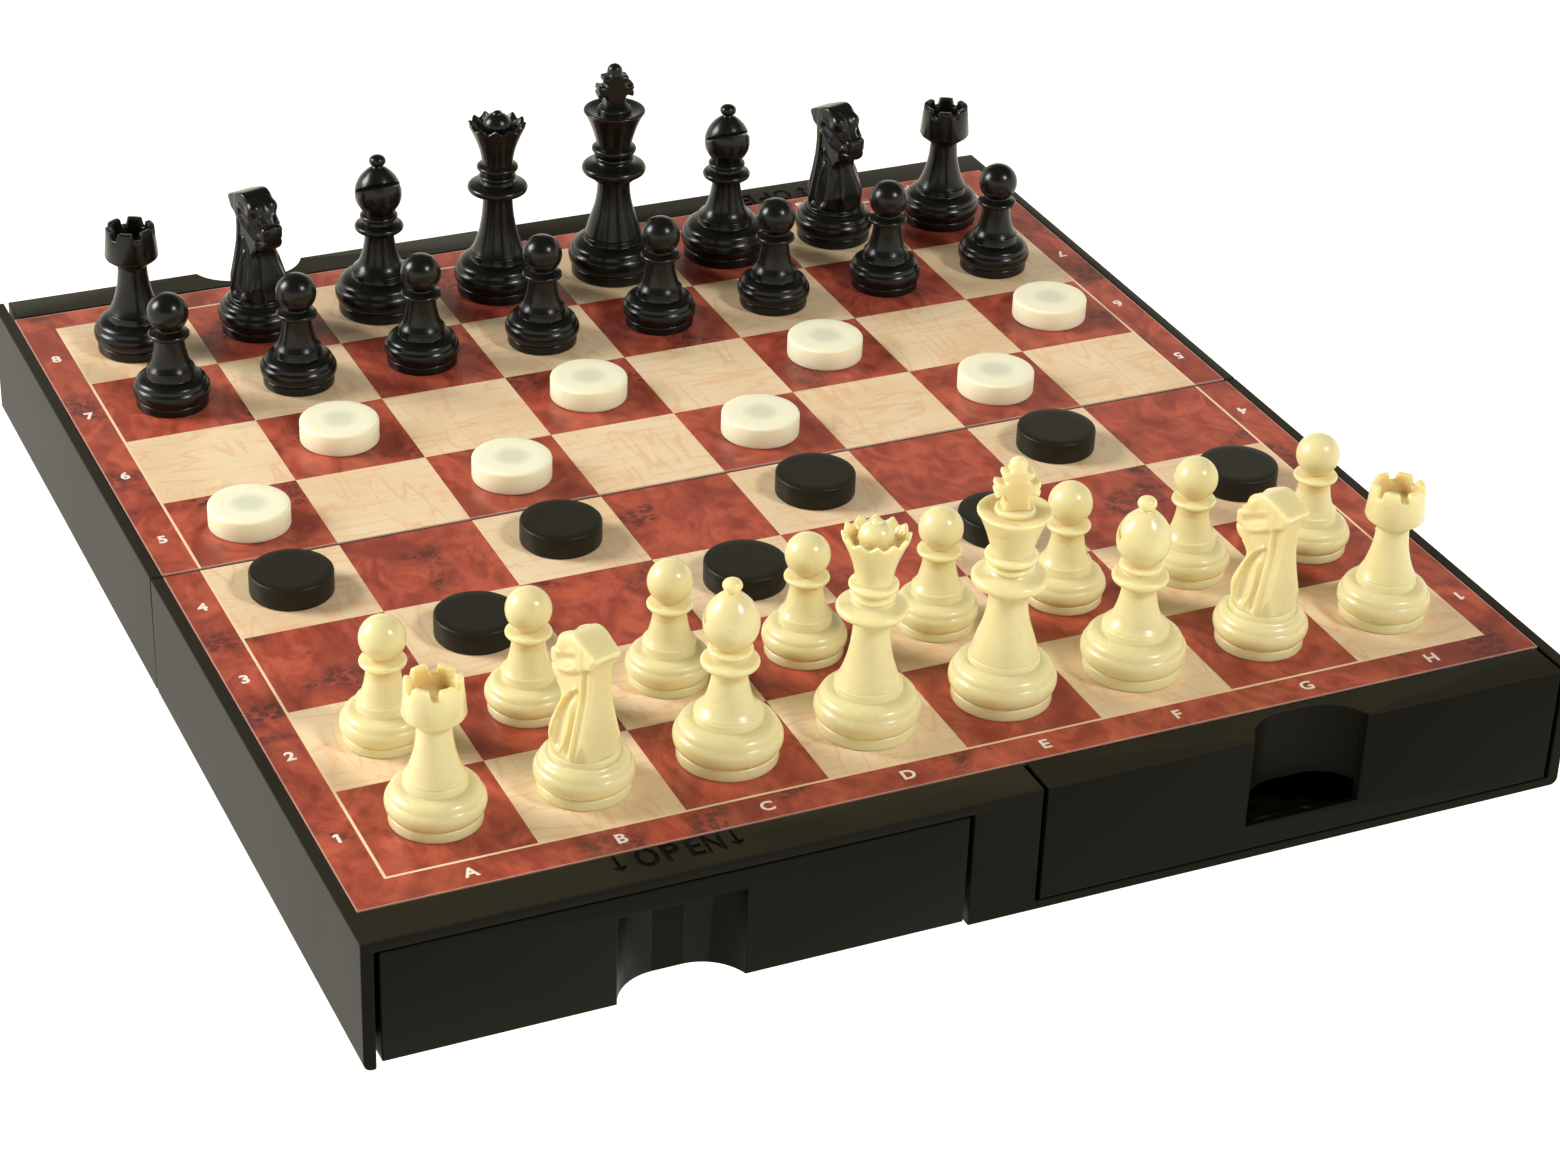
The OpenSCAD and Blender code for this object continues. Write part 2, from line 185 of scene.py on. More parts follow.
def principled(name, color, roughness, **inputs):
    """New material; its Principled node and a wire that carries Object coordinates."""
    material = bpy.data.materials.new(name)
    material.use_nodes = True
    shader = material.node_tree.nodes["Principled BSDF"]
    shader.inputs["Base Color"].default_value = (*color, 1)
    shader.inputs["Roughness"].default_value = roughness
    for key, value in inputs.items():
        shader.inputs[key.replace("_", " ")].default_value = value
    place = material.node_tree.nodes.new("ShaderNodeTexCoord")
    return material, shader, Wire(material.node_tree, place.outputs["Object"])


def feed(shader, **wires):
    for key, wire in wires.items():
        wire.tree.links.new(wire.socket, shader.inputs[key.replace("_", " ")])


def noise(place, scale, detail=2, roughness=0.5, distortion=0.0):
    return place.add("TexNoise", {}, {"Vector": place, "Scale": scale, "Detail": detail,
                                      "Roughness": roughness, "Distortion": distortion})


def ramp(value, low, high, to_low=0.0, to_high=1.0):
    """Smooth step from one value to another."""
    limits = {"From Min": low, "From Max": high, "To Min": to_low, "To Max": to_high}
    return value.add("MapRange", {"interpolation_type": "SMOOTHSTEP"}, {"Value": value, **limits})


def blend(factor, first, second):
    """Mix of two colours, each a wire or a plain (r, g, b)."""
    colors = [c if isinstance(c, Wire) else (*c, 1) for c in (first, second)]
    return factor.add("Mix", {"data_type": "RGBA"}, {0: factor, 6: colors[0], 7: colors[1]}, output=2)


def bump(relief, strength, distance):
    return relief.add("Bump", {}, {"Height": relief, "Strength": strength, "Distance": distance})


rim_z = 0.0335
case_plastic, shader, place = principled(
    "case_plastic", (0.0043, 0.0040, 0.0018), 0.4, Specular_IOR_Level=0.06)
tone = blend(ramp(noise(place, 9, 3), 0.35, 0.7), (0.0038, 0.0035, 0.0015), (0.0048, 0.0045, 0.0021))
# painted sheen: the top of the rim is painted lighter and greyer than the walls, standing in for the light
# it catches
top_sheen_mask = ramp(place.axis("Z"), rim_z - 0.0004, rim_z - 0.0001)
feed(shader,
     Base_Color=blend(top_sheen_mask, tone, (0.0195, 0.0175, 0.0105)),
     Roughness=ramp(noise(place, 20, 2), 0.3, 0.7, 0.39, 0.41),
     Normal=bump(noise(place, 2600, 2), 0.06, 0.00004))


def solid_from(node, name):
    """Object with a copy of a CAD piece: its triangles joined, its flat faces made whole."""
    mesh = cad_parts[node].data.copy()
    mesh.materials.clear()
    mesh.name = name
    made = bmesh.new()
    made.from_mesh(mesh)
    bmesh.ops.remove_doubles(made, verts=made.verts, dist=2e-6)
    bmesh.ops.dissolve_limit(made, angle_limit=math.radians(0.5), verts=made.verts, edges=made.edges)
    made.to_mesh(mesh)
    made.free()
    return add_object(name, mesh)


def ease_edges(piece, width, shortest=0.0025, corner=50):
    """Rounds the long edges of sharp corners, as a mould does."""
    made = bmesh.new()
    made.from_mesh(piece.data)
    weight = made.edges.layers.float.new("bevel_weight_edge")
    for edge in made.edges:
        turned = len(edge.link_faces) == 2 and edge.calc_face_angle() > math.radians(corner)
        if turned and edge.calc_length() > shortest:
            edge[weight] = 1
    made.to_mesh(piece.data)
    made.free()
    rounding = piece.modifiers.new("rounding", "BEVEL")
    rounding.limit_method = "WEIGHT"
    rounding.width = width
    rounding.segments = 2
    rounding.use_clamp_overlap = False
    rounding.miter_outer = "MITER_ARC"
    settle(piece)


def result_of(piece):
    """New mesh of what an object's modifiers make of it."""
    seen = piece.evaluated_get(bpy.context.evaluated_depsgraph_get())
    return bpy.data.meshes.new_from_object(seen)


def settle(piece):
    """Replaces a piece's mesh by what its modifiers make of it."""
    made = result_of(piece)
    made.name = piece.name
    piece.modifiers.clear()
    piece.data = made


def combine(piece, tool, operation):
    """Joins a piece with a tool or cuts the tool out of it, and does away with the tool."""
    step = piece.modifiers.new("combine", "BOOLEAN")
    step.operation = operation
    step.solver = "EXACT"
    step.object = tool
    settle(piece)
    bpy.data.objects.remove(tool)


def as_mesh(made, name):
    mesh = bpy.data.meshes.new(name)
    made.to_mesh(mesh)
    made.free()
    return mesh


def finish_piece(piece, material, body, node, smooth_angle=20):
    if material:
        piece.data.materials.clear()
        piece.data.materials.append(material)
    piece.data.shade_smooth()
    piece.data.set_sharp_from_angle(angle=math.radians(smooth_angle))
    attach(piece, body)
    if node:
        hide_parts(node)


def flat_text(text, size, center, turn=0.0, offset=0.0, thick=0.0):
    """Mesh of plain capitals or digits lying on z = 0, centred on a point and turned about Z."""
    curve = bpy.data.curves.new(text, "FONT")
    curve.body = text
    curve.size = size
    curve.offset = offset
    curve.extrude = thick
    curve.align_x = "CENTER"
    curve.align_y = "CENTER"
    writing = add_object(text, curve)
    mesh = result_of(writing)
    bpy.data.objects.remove(writing)
    points = np.array([v.co for v in mesh.vertices])
    middle = (points.min(0) + points.max(0)) / 2
    mesh.transform(Matrix.Translation(center) @ Matrix.Rotation(turn, 4, "Z")
                   @ Matrix.Translation((-middle[0], -middle[1], 0)))
    return mesh


mould_edge = 0.00035
near_case = solid_from("near_case", "near_half_case")
ease_edges(near_case, mould_edge)

rim_y, sunk = -0.1535, 0.00035
cutter = bmesh.new()
for letter, x, width in (("O", -0.0850, 0.0053), ("P", -0.0792, 0.0043),
                         ("E", -0.0738, 0.0036), ("N", -0.0693, 0.0045)):
    glyph = flat_text(letter, 0.0092, (0, 0, 0), 0.0, 0.0003, sunk)
    squeeze = width / (2 * max(v.co.x for v in glyph.vertices))
    glyph.transform(Matrix.Translation((x, rim_y, rim_z)) @ Matrix.Diagonal((squeeze, 1, 1, 1)))
    cutter.from_mesh(glyph)
arrow = [(0.0004, 0.0034), (0.0004, -0.0012), (0.0019, -0.0012), (0, -0.0034),
         (-0.0019, -0.0012), (-0.0004, -0.0012), (-0.0004, 0.0034)]
for x in (-0.0919, -0.0641):
    low = [cutter.verts.new((x + u, rim_y + v, rim_z - sunk)) for u, v in arrow]
    high = [cutter.verts.new((x + u, rim_y + v, rim_z + sunk)) for u, v in arrow]
    cutter.faces.new(low)
    cutter.faces.new(high[::-1])
    for i in range(len(arrow)):
        j = (i + 1) % len(arrow)
        cutter.faces.new((low[j], low[i], high[i], high[j]))
bmesh.ops.remove_doubles(cutter, verts=cutter.verts, dist=1e-6)
bmesh.ops.recalc_face_normals(cutter, faces=cutter.faces)
combine(near_case, add_object("rim_stamp", as_mesh(cutter, "rim_stamp")), "DIFFERENCE")

far_case = add_object("far_half_case", near_case.data.copy())
far_case.data.name = "far_half_case"
far_case.data.transform(Matrix.Rotation(math.pi, 4, "Z"))
finish_piece(near_case, case_plastic, "near_half", "near_case")
finish_piece(far_case, case_plastic, "far_half", "far_case")

# ---- Steel plates ----
# A thin cold-rolled sheet lies in each half under the print, so that the
# magnets in the men hold. Only its cut edge shows, at the crease.
rolled_steel, shader, place = principled("rolled_steel", (0.5, 0.5, 0.51), 0.35, Metallic=1.0)
streaks = noise(place.add("Mapping", {}, {"Vector": place, "Scale": (900, 12, 900)}), 1.0, 2)
feed(shader,
     Base_Color=blend(streaks, (0.42, 0.42, 0.43), (0.58, 0.58, 0.59)),
     Roughness=ramp(streaks, 0.2, 0.8, 0.28, 0.5))


def recolor(node, material):
    """Gives a CAD piece that keeps its own shape a material."""
    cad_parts[node].data.materials.clear()
    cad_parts[node].data.materials.append(material)


recolor("near_steel_plate", rolled_steel)
recolor("far_steel_plate", rolled_steel)

# ---- Printed sheets ----
# The board is printed on satin film: squares of figured maple and red burl,
# a cream line round the field and a burl border with coordinates. One material
# covers both halves, because Object coordinates are the same on both.
square, field, sheet_edge = 0.035, 0.140, 0.1498

board_print, shader, place = principled(
    "board_print", (0.4, 0.1, 0.06), 0.3, Specular_IOR_Level=0.3)


def floored(value):
    return value.math("FLOOR", value)


across, along = place.axis("X"), place.axis("Y")
column, row = floored(across / square + 4), floored(along / square + 4)
light_square = (column + row) % 2
from_middle = across.math("MAXIMUM", abs(across), abs(along))
inside = from_middle < field
maple_mask = light_square * inside
line_mask = (from_middle > field - 0.0001) * (from_middle < field + 0.0006)
# painted highlight: a pale line along the film's cut edges, round the sheet and beside the crease,
# standing in for the glint they catch
crease_glint = (along > 0.0004) * (along < 0.0009)
edge_glint = along.math("MAXIMUM", from_middle > sheet_edge - 0.0003, crease_glint)

# each square is cut from its own piece of veneer, so the pattern jumps between them
square_seed = column * 0.613 + row * 0.377 + light_square * 3.1
jump = square_seed.add("CombineXYZ", {}, {"X": square_seed * inside, "Y": square_seed * 0.71 * inside,
                                          "Z": square_seed * 1.37 * inside})
veneer = place.add("VectorMath", {"operation": "ADD"}, {0: place, 1: jump})


def stretched(vector, x, y):
    return vector.add("Mapping", {}, {"Vector": vector, "Scale": (x, y, 1)})


def crackle(vector, x, y, width, distortion):
    """Thin wandering lines where a stretched noise crosses its middle."""
    level = noise(stretched(vector, x, y), 1.0, 1, 0.4, distortion)
    return ramp(abs(level - 0.5), 0.0, width, 1.0, 0.0)


patches = noise(veneer, 55, 2)
maple = blend(ramp(noise(veneer, 32, 3), 0.3, 0.72), (0.84, 0.65, 0.41), (0.76, 0.55, 0.325))
bands = ramp(noise(stretched(veneer, 30, 420), 1.0, 3, 0.6, 0.5), 0.50, 0.68)
maple = blend(bands * 0.25, maple, (0.72, 0.44, 0.24))
lines_along = crackle(veneer, 32, 170, 0.05, 0.3) * ramp(patches, 0.36, 0.60)
lines_across = crackle(veneer, 190, 40, 0.05, 0.3) * ramp(patches, 0.62, 0.40)
maple = blend((lines_along + lines_across) * 0.42, maple, (0.72, 0.38, 0.17))
flecks = ramp(noise(stretched(veneer, 300, 1200), 1.0, 1), 0.66, 0.76)
maple = blend(flecks * 0.3, maple, (0.40, 0.20, 0.09))

drift = noise(veneer, 30, 3, 0.55, 1.2)
grain = noise(stretched(veneer, 110, 70), 1.0, 4, 0.6, 1.6)
burl = blend(ramp(grain, 0.30, 0.68), (0.28, 0.045, 0.026), (0.50, 0.102, 0.055))
burl = blend(ramp(drift, 0.50, 0.70) * 0.7, burl, (0.21, 0.034, 0.020))
fibres = noise(stretched(veneer, 700, 160), 1.0, 3, 0.6, 1.0)
burl = blend(ramp(fibres, 0.45, 0.75) * 0.22, burl, (0.18, 0.030, 0.018))
clusters = noise(veneer, 48, 2, 0.5, 0.4)
cells = veneer.add("TexVoronoi", {}, {"Vector": stretched(veneer, 1.0, 1.25), "Scale": 400.0,
                                      "Randomness": 0.9})
rings = ramp(cells, 0.10, 0.32) * ramp(cells, 0.62, 0.38)
knots = (rings + ramp(noise(veneer, 380, 2), 0.52, 0.62) * 0.6) * ramp(clusters, 0.57, 0.68)
burl = blend(knots.math("MINIMUM", knots, 1.0) * 0.85, burl, (0.065, 0.024, 0.022))
burl = blend(ramp(clusters, 0.50, 0.66) * 0.35, burl, (0.15, 0.034, 0.024))

colors = blend(maple_mask, burl, maple)
colors = blend(line_mask, colors, (0.84, 0.62, 0.38))
# the painted highlight on the film's cut edges
colors = blend(edge_glint * 0.6, colors, (0.60, 0.38, 0.32))
feed(shader,
     Base_Color=colors,
     Roughness=ramp(noise(place, 120, 3), 0.3, 0.7, 0.28, 0.38),
     Normal=bump(noise(place, 420, 2), 0.02, 0.00005))
recolor("near_board_sheet", board_print)
recolor("far_board_sheet", board_print)

# ---- Coordinates ----
# Cream capitals and digits, screen-printed on the border in a wide bold face.
# Those on the near and left sides stand upright for white, the others for black.
cream_ink, shader, place = principled("cream_ink", (0.86, 0.78, 0.66), 0.35)
feed(shader, Base_Color=blend(noise(place, 900, 2), (0.80, 0.70, 0.58), (0.90, 0.82, 0.70)))
ink_z = rim_z + 0.00003
letter_y, digit_x, mark_size = 0.1449, 0.1450, 0.0048
letter_swell, digit_swell = 0.00014, 0.00018
# the 1 of this face has no foot
stem = [(0.4, -1.75), (0.4, 1.75), (-0.4, 1.75), (-1.2, 1.1), (-0.85, 0.55), (-0.4, 0.85), (-0.4, -1.75)]
one = bmesh.new()
one.faces.new([one.verts.new((0.001 * u, 0.001 * v, 0)) for u, v in reversed(stem)])
one = as_mesh(one, "1")
for half, side in (("near", -1), ("far", 1)):
    marks = bmesh.new()
    for i in range(8):
        center = ((i - 3.5) * square, side * letter_y, ink_z)
        upright = 0.0 if side < 0 else math.pi
        marks.from_mesh(flat_text("ABCDEFGH"[i], mark_size, center, upright, letter_swell))
        if (i < 4) != (side < 0):
            continue
        for edge, facing in ((-1, 0.0), (1, math.pi)):
            center = (edge * digit_x, (i - 3.5) * square, ink_z)
            if i:
                marks.from_mesh(flat_text("12345678"[i], mark_size, center, facing, digit_swell))
            else:
                digit = one.copy()
                digit.transform(Matrix.Translation(center) @ Matrix.Rotation(facing, 4, "Z"))
                marks.from_mesh(digit)
    piece = add_object(half + "_coordinates", as_mesh(marks, half + "_coordinates"))
    finish_piece(piece, cream_ink, half + "_half", None)

# ---- Drawers ----
# Open trays in the same black plastic, with a finger scoop moulded into each
# front. Two of the fronts also carry on the rim of the case.
for node in ("near_left_drawer", "near_right_drawer", "far_left_drawer", "far_right_drawer"):
    drawer = solid_from(node, node.replace("drawer", "tray"))
    ease_edges(drawer, mould_edge)
    finish_piece(drawer, case_plastic, node, node)

# ---- Hinge ----
# Two double links in black acetal turn on four ground steel pins under the
# crease, so that the halves can fold back to back.
link_plastic, shader, place = principled(
    "link_plastic", (0.009, 0.009, 0.008), 0.3, Specular_IOR_Level=0.15)
feed(shader,
     Base_Color=blend(noise(place, 60, 2), (0.007, 0.007, 0.006), (0.011, 0.011, 0.010)),
     Roughness=ramp(noise(place, 300, 3), 0.3, 0.7, 0.26, 0.4))
links = solid_from("hinge_links", "double_links")
ease_edges(links, 0.0004, shortest=0.0011)
finish_piece(links, link_plastic, "links", "hinge_links")

pin_steel, shader, place = principled("pin_steel", (0.6, 0.6, 0.62), 0.22, Metallic=1.0)
grinding = noise(place.add("Mapping", {}, {"Vector": place, "Scale": (4000, 90, 90)}), 1.0, 2)
feed(shader, Roughness=ramp(grinding, 0.2, 0.8, 0.16, 0.34))
recolor("hinge_pins", pin_steel)

# ---- Pawns, and what all the men share ----
# Moulded in two colours of glossy plastic from one set of moulds. Each man is
# turned in form: a foot, a swelling base, a step, a stem and its head. A magnet
# sits in a bore in the foot. The men's own sizes are in millimetres.
board_z, square_mm = 33.5, 35
ivory_plastic, shader, place = principled(
    "ivory_plastic", (0.74, 0.665, 0.365), 0.24, Subsurface_Weight=0.8, Subsurface_Scale=0.004,
    Subsurface_Radius=(1.0, 0.75, 0.35), Specular_IOR_Level=0.5)
# painted shade: grooves and wells are painted a deeper yellow, standing in for their shade and for the
# light scattered through the plastic there
recess = place.add("Attribute", {"attribute_name": "recess"}, output="Fac")
ivory = blend(noise(place, 25, 1), (0.73, 0.655, 0.355), (0.755, 0.68, 0.38))
feed(shader,
     Base_Color=blend(recess, ivory, (0.70, 0.50, 0.18)),
     Roughness=ramp(noise(place, 60, 1), 0.3, 0.7, 0.25, 0.30))
black_plastic, shader, place = principled(
    "black_plastic", (0.005, 0.005, 0.004), 0.25, Specular_IOR_Level=0.32)
feed(shader,
     Base_Color=blend(noise(place, 40, 1), (0.004, 0.004, 0.003), (0.005, 0.005, 0.004)),
     Roughness=ramp(noise(place, 60, 1), 0.3, 0.7, 0.24, 0.27))
magnet_steel, shader, place = principled("magnet_nickel", (0.55, 0.54, 0.52), 0.3, Metallic=1.0)
feed(shader, Roughness=ramp(noise(place, 800, 3), 0.3, 0.7, 0.22, 0.42))


def curve_through(points, steps=5):
    """Smooth line through points (Catmull-Rom), ends included."""
    p = np.array([points[0], *points, points[-1]], float)
    out = []
    for i in range(1, len(p) - 2):
        for t in np.arange(steps) / steps:
            out.append(0.5 * (2 * p[i] + (p[i + 1] - p[i - 1]) * t
                              + (2 * p[i - 1] - 5 * p[i] + 4 * p[i + 1] - p[i + 2]) * t * t
                              + (3 * p[i] - p[i - 1] - 3 * p[i + 1] + p[i + 2]) * t ** 3))
    out.append(p[-2])
    return [tuple(q) for q in out]


def arc(r, z, radius, start, end, steps=8):
    """Points (r, z) on a circle's arc, angles in degrees."""
    angles = np.radians(np.linspace(start, end, steps + 1))
    return [(r + radius * math.cos(a), z + radius * math.sin(a)) for a in angles]


def base_profile(radius, ring=0.635, top=1.0):
    """Bore for the magnet, foot, groove, two swellings and the ring under the stem, from the radius."""
    r = radius
    return ([(0, 2.7), (4.1, 2.7), (4.1, 0.25)] + arc(4.35, 0.25, 0.25, 180, 270, 3)
            + arc(0.93 * r - 0.45, 0.45, 0.45, 270, 360, 4)
            + arc(0.93 * r - 0.4, 0.24 * r - 0.4, 0.4, 0, 75, 3) + [(0.9 * r, 0.25 * r)]
            + curve_through([(0.935 * r, 0.262 * r), (0.98 * r, 0.335 * r), (r, 0.44 * r),
                             (0.985 * r, 0.54 * r), (0.95 * r, 0.6 * r), (0.928 * r, 0.62 * r),
                             (0.918 * r, 0.645 * r), (0.885 * r, 0.725 * r), (0.8 * r, 0.787 * r),
                             ((ring + 0.065) * r, 0.817 * r), ((ring + 0.01) * r, 0.826 * r)], 4)
            + [(ring * r, 0.84 * r)] + arc((ring - 0.03) * r, (top - 0.03) * r, 0.03 * r, 0, 90, 3))


def lathe(profile, sides=72, bend=None):
    """Closed mesh of a profile of (r, z) turned about Z, both in millimetres."""
    made = bmesh.new()
    rings = []
    for r, z in profile:
        if r < 1e-6:
            rings.append([made.verts.new((0, 0, z))] * sides)
            continue
        ring = []
        for k in range(sides):
            a = 2 * math.pi * k / sides
            rr, zz = bend(r, z, a) if bend else (r, z)
            ring.append(made.verts.new((rr * math.cos(a), rr * math.sin(a), zz)))
        rings.append(ring)
    for low, high in zip(rings, rings[1:]):
        for k in range(sides):
            corners = (low[k], low[(k + 1) % sides], high[(k + 1) % sides], high[k])
            unique = list(dict.fromkeys(corners))
            if len(unique) > 2:
                made.faces.new(unique)
    return made


def mark_recesses(mesh, strength):
    """Stores how far each point lies in from what stands out both above and below it, as the weight of the
    shade painted into grooves and wells.
    """
    slices, per_mm, look_up, look_down = 300, 4, 10, 24
    full_depth, shallow, foot_z = 2.6, 0.06, 2.9
    points = np.array([v.co for v in mesh.vertices])
    reach = np.hypot(points[:, 0], points[:, 1])
    level = np.clip(np.round(points[:, 2] * per_mm).astype(int), 0, slices - 1)
    widest = np.zeros(slices)
    np.maximum.at(widest, level, reach)
    above = np.array([widest[i:i + look_up + 1].max() for i in range(slices)])
    below = np.array([widest[max(0, i - look_down):i + 1].max() for i in range(slices)])
    depth = np.clip((np.minimum(above, below)[level] - reach) / full_depth - shallow, 0, 1)
    depth[points[:, 2] < foot_z] = 0
    mesh.attributes.new("recess", "FLOAT", "POINT").data.foreach_set("value", depth * strength)


# the magnet in the bore is a closed disc with its own material
magnet = lathe([(0, 0.2)] + arc(3.85, 0.35, 0.15, 270, 360, 2) + arc(3.85, 2.45, 0.15, 0, 90, 2)
               + [(0, 2.6)], 40)
for face in magnet.faces:
    face.material_index = 1
magnet = as_mesh(magnet, "magnet")


def line_up(kind, shape, files, row, turns, smooth_angle=40, recess_strength=0.8, suffix="_man"):
    """Stands one kind of man on its files for both colours, turned as white's and as black's are."""
    for color, plastic, slot, rank, turn in (
            ("white", ivory_plastic, "ivory_plastic", row, turns[0]),
            ("black", black_plastic, "black_plastic", 7 - row, turns[1])):
        for file in files:
            node = f"{color}_{kind}_{'abcdefgh'[file]}"
            whole = bmesh.new()
            whole.from_mesh(shape)
            whole.from_mesh(magnet)
            mesh = as_mesh(whole, node + suffix)
            # weight of the shade painted into the grooves and wells
            mark_recesses(mesh, recess_strength)
            spot = Matrix.Translation(((file - 3.5) * square_mm, (rank - 3.5) * square_mm, board_z))
            mesh.transform(Matrix.Scale(0.001, 4) @ spot @ Matrix.Rotation(turn, 4, "Z"))
            mesh.materials.append(plastic)
            mesh.materials.append(magnet_steel)
            piece = add_object(node + suffix, mesh)
            mesh.shade_smooth()
            mesh.set_sharp_from_angle(angle=math.radians(smooth_angle))
            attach(piece, node)
            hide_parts(node)


pawn_profile = (base_profile(10.3, 0.617, 1.07)
                + curve_through([(5.95, 11.15), (5.2, 12.4), (4.7, 14.0), (4.25, 16.0), (4.0, 18.0),
                                 (3.9, 19.5)])
                + [(4.6, 19.7)] + arc(4.8, 20.5, 0.7, -80, 80, 8) + [(4.2, 21.35), (3.3, 21.8)]
                + arc(0, 26.5, 5.45, -54, 90, 26))
line_up("pawn", as_mesh(lathe(pawn_profile), "pawn"), range(8), 1, (0, 0))

# ---- Rooks ----
# A plain tower: the stem flares into a turret with a bevelled underside, and
# six merlons stand round a shallow well.
wall_top, merlon_top = 34.1, 36.2
rook_profile = (base_profile(11.4)
                + curve_through([(7.0, 11.6), (6.4, 12.7), (5.8, 14.1), (4.9, 17.0), (4.25, 20.4),
                                 (3.9, 24.6)])
                + [(4.1, 25.0), (6.9, 27.2), (7.2, 27.8), (6.65, wall_top), (4.9, wall_top), (4.5, 31.8),
                   (0, 31.5)])
turret = lathe(rook_profile)
turret.faces.ensure_lookup_table()
merlon_tops = []
for face in turret.faces:
    middle = face.calc_center_median()
    if abs(middle.z - wall_top) < 0.01 and middle.xy.length > 5:
        # the wall has twelve faces to each merlon, three of them in the gap
        if 1 <= int(math.degrees(math.atan2(middle.y, middle.x)) % 60 // 5) <= 9:
            merlon_tops.append(face)
raised = bmesh.ops.extrude_face_region(turret, geom=merlon_tops)
for vert in [g for g in raised["geom"] if isinstance(g, bmesh.types.BMVert)]:
    # each merlon is narrower at the top than at its foot
    bearing = math.atan2(vert.co.y, vert.co.x)
    off_middle = bearing % math.radians(60) - math.radians(27.5)
    vert.co.z = merlon_top
    vert.co.xy = Matrix.Rotation(-0.2 * off_middle, 2) @ vert.co.xy * 0.985
bmesh.ops.delete(turret, geom=merlon_tops, context="FACES_ONLY")
sharp = [e for e in turret.edges if min(v.co.z for v in e.verts) > wall_top - 0.01
         and len(e.link_faces) == 2 and e.calc_face_angle() > math.radians(45)]
bmesh.ops.bevel(turret, geom=sharp, offset=0.45, offset_type="OFFSET", segments=3, profile=0.5,
                affect="EDGES", clamp_overlap=True)
line_up("rook", as_mesh(turret, "rook"), (0, 7), 0, (math.radians(15), math.radians(35)))

# ---- Bishops ----
# A collar and a small ring carry the mitre, which has a slanting cut on the
# side that faces the opponent, and a flat button on top.
bishop_profile = (base_profile(12.7, 0.63, 0.985)
                  + curve_through([(7.6, 12.7), (6.4, 13.9), (5.5, 15.6), (4.7, 18.3), (4.15, 21.5),
                                   (4.1, 23.4)])
                  + [(5.2, 23.9), (5.9, 24.1)] + arc(5.85, 25.2, 0.95, -80, 80, 8)
                  + [(5.1, 26.3), (4.5, 26.7), (4.3, 27.4)] + arc(4.55, 28.4, 0.7, -70, 70, 6)
                  + [(4.1, 29.3)]
                  + curve_through([(4.15, 29.9), (5.2, 31.1), (6.15, 32.9), (6.5, 35.1), (6.15, 37.5),
                                   (4.9, 40.0), (3.0, 42.0), (1.5, 43.0)])
                  + [(1.35, 43.3)] + arc(0.85, 44.75, 1.45, -62, 62, 8) + [(0.9, 46.3), (0, 46.45)])
bishop = add_object("bishop", as_mesh(lathe(bishop_profile), "bishop"))
slit_z, slit_lean, slit_width = 36.3, math.radians(-32), 1.3
blade = bmesh.new()
bmesh.ops.create_cube(blade, size=1, matrix=(
    Matrix.Translation((0, 0, slit_z)) @ Matrix.Rotation(slit_lean, 4, "X")
    @ Matrix.Diagonal((26, 12, slit_width, 1)) @ Matrix.Translation((0, -0.5, 0))))
combine(bishop, add_object("blade", as_mesh(blade, "blade")), "DIFFERENCE")
line_up("bishop", bishop.data, (2, 5), 0, (math.pi, 0))
bpy.data.objects.remove(bishop)

# ---- Queens ----
# The coronet is a thick cup with twelve short points; a large bead with a small
# one on top sits in it.
coronet_points, notch_foot, notch_rise, notch_depth = 12, 48.2, 2.9, 1.25


def scallop(r, z, a):
    """Sinks the cup's edge between the points, less and less down to the notches' foot."""
    if z < notch_foot or r < 4.2:
        return r, z
    share = min(1.0, (z - notch_foot) / notch_rise)
    s = (a * coronet_points / (2 * math.pi)) % 1 * 2 - 1
    drop = notch_depth * (0.5 + 0.5 * math.cos(math.pi * s)) ** 0.8 * share
    return r - 0.3 * drop, z - drop


queen_profile = (base_profile(12.5)
                 + curve_through([(7.6, 12.6), (6.7, 14.4), (5.85, 16.8), (5.1, 19.7), (4.5, 23.6),
                                  (4.2, 27.6), (4.25, 29.2)])
                 + [(5.4, 29.6), (5.7, 30.2), (7.0, 30.5)] + arc(7.35, 31.7, 1.1, -75, 80, 9)
                 + [(6.2, 33.0), (5.0, 33.4), (4.6, 34.2)] + arc(4.6, 35.1, 0.62, -70, 70, 6)
                 + [(4.4, 36.0), (4.5, 36.9)] + arc(5.1, 37.8, 0.72, -80, 80, 8) + [(4.6, 38.7)]
                 + curve_through([(4.35, 38.8), (4.5, 40.7), (5.1, 43.4), (5.97, 45.9), (7.1, 48.6),
                                  (8.0, 50.8)])
                 + [(8.05, 51.2), (7.8, 51.5), (7.1, 51.3)]
                 + curve_through([(6.7, 50.6), (5.9, 49.5), (5.1, 48.9)]) + [(4.15, 48.8)]
                 + arc(0, 49.7, 4.25, -12, 68, 14) + [(1.5, 53.65)] + arc(0, 53.1, 1.5, 20, 90, 8)[:-1]
                 + [(0, 54.6)])
queen = as_mesh(lathe(queen_profile, 144, scallop), "queen")
line_up("queen", queen, (3,), 0, (0.1, 0.1), recess_strength=0.4, suffix="_woman")

# ---- Kings ----
# A flared crown with a sunk top, a pedestal ring, and a thick cross with a ball
# on it. The kings stand a little turned on their squares.


